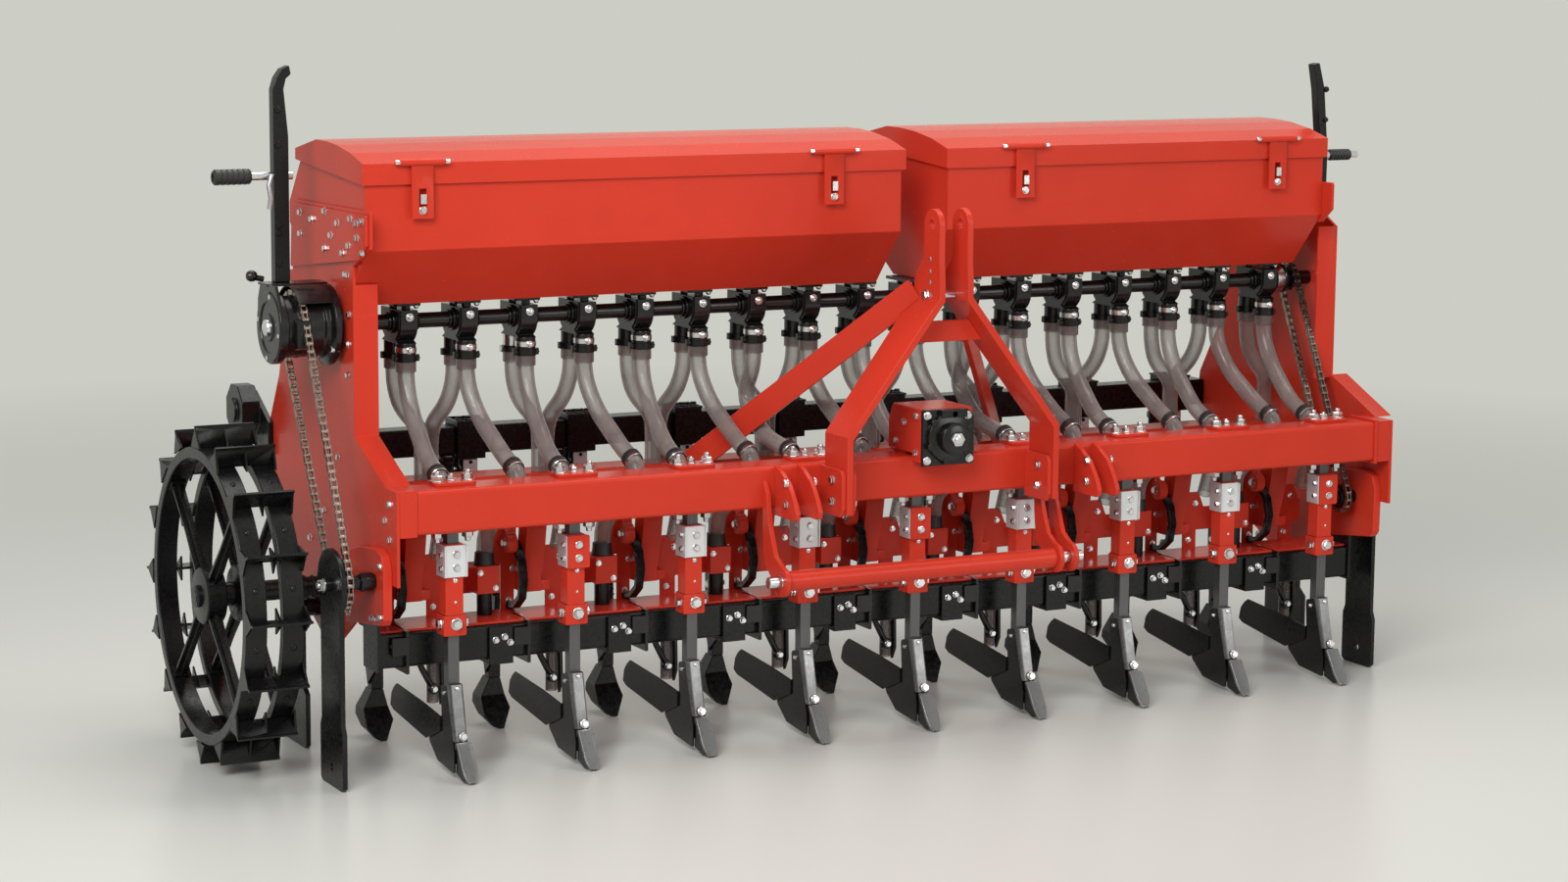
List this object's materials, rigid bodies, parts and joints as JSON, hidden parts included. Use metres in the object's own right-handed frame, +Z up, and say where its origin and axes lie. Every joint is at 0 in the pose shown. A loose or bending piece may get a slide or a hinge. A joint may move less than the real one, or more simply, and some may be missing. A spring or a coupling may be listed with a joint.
{
  "type": "seed drill",
  "caption": "Three-point-hitch seed and fertiliser drill: two lidded hoppers over a metering shaft, clear hoses, a row of knife openers, a lugged ground wheel and fold-up parking legs.",
  "frame": {"origin": "on the floor, at the middle of the machine's footprint box", "axes": "+X to the right seen from the hitch side, along the machine's working width; +Y from the hitch to the rear; +Z up"},
  "size_m": [3.236, 1.1429, 1.6],
  "materials": {
    "red_paint": "gloss",
    "black_paint": "satin",
    "zinc_steel": "satin",
    "galvanised_steel": "satin",
    "clear_hose": "gloss",
    "black_plastic": "matte"
  },
  "bodies": {
    "root": {"axle_stubs": "black_paint", "bar_clamps": "black_paint", "bar_shoes": "black_paint", "beam_collars": "red_paint", "boot_rail": "red_paint", "clamp_bolts": "zinc_steel", "clamp_plates": "red_paint", "countershaft": "black_paint", "depth_levers": "black_paint", "drive_chains": "zinc_steel", "drive_drum": "black_paint", "end_pans": "red_paint", "front_beam": "red_paint", "gearbox": "red_paint", "handle_grips": "black_plastic", "handle_shafts": "zinc_steel", "headstock_braces": "red_paint", "headstock_legs": "red_paint", "hitch_pins": "zinc_steel", "holder_clips": "galvanised_steel", "hopper_end_plates": "red_paint", "hopper_left": "red_paint", "hopper_right": "red_paint", "hose_cuffs": "black_paint", "knives": "black_paint", "lid_hinge_pins": "zinc_steel", "link_brackets": "red_paint", "lower_bar": "black_paint", "metering_housings": "black_paint", "metering_shaft": "black_paint", "pto_cover": "black_paint", "pto_shaft": "zinc_steel", "rear_bar": "black_paint", "rear_beam": "red_paint", "rear_hub": "black_paint", "rear_shanks": "black_paint", "rear_shares": "black_paint", "seed_boots": "red_paint", "seed_hoses": "clear_hose", "shank_bars": "black_paint", "shank_holders": "red_paint", "share_points": "black_paint", "side_plate_left": "red_paint", "side_plate_right": "red_paint", "socket_tubes": "black_paint", "spring_straps": "black_paint"},
    "ground_wheel": {"wheel_hub": "black_paint", "wheel_lugs": "black_paint", "wheel_rims": "black_paint", "wheel_spokes": "black_paint"},
    "lid_left": {"lid_latches_left": "red_paint", "lid_left": "red_paint"},
    "lid_right": {"lid_latches_right": "red_paint", "lid_right": "red_paint"},
    "parking_leg_front_left": {"parking_leg_front_left": "black_paint"},
    "parking_leg_front_right": {"parking_leg_front_right": "black_paint"},
    "parking_leg_rear_left": {"parking_leg_rear_left": "black_paint"},
    "parking_leg_rear_right": {"parking_leg_rear_right": "black_paint"}
  },
  "joints": [
    {"name": "ground_wheel_spin", "type": "hinge", "parent": "root", "child": "ground_wheel", "pos_m": [-1.5395, -0.0325, 0.394], "axis": [1, 0, 0], "continuous": true},
    {"name": "lid_left_hinge", "type": "hinge", "parent": "root", "child": "lid_left", "pos_m": [-0.585, 0.2095, 1.379], "axis": [-1, 0, 0], "range_deg": [0, 100]},
    {"name": "lid_right_hinge", "type": "hinge", "parent": "root", "child": "lid_right", "pos_m": [0.788, 0.2095, 1.379], "axis": [-1, 0, 0], "range_deg": [0, 100]},
    {"name": "parking_leg_front_left_pivot", "type": "hinge", "parent": "root", "child": "parking_leg_front_left", "pos_m": [-1.4, -0.3545, 0.461], "axis": [-1, 0, 0], "range_deg": [0, 90]},
    {"name": "parking_leg_rear_left_pivot", "type": "hinge", "parent": "root", "child": "parking_leg_rear_left", "pos_m": [-1.336, 0.0865, 0.33], "axis": [1, 0, 0], "range_deg": [0, 90]},
    {"name": "parking_leg_front_right_pivot", "type": "hinge", "parent": "root", "child": "parking_leg_front_right", "pos_m": [1.48, -0.2755, 0.44], "axis": [-1, 0, 0], "range_deg": [0, 90]},
    {"name": "parking_leg_rear_right_pivot", "type": "hinge", "parent": "root", "child": "parking_leg_rear_right", "pos_m": [1.5, 0.0865, 0.33], "axis": [1, 0, 0], "range_deg": [0, 90]}
  ]
}
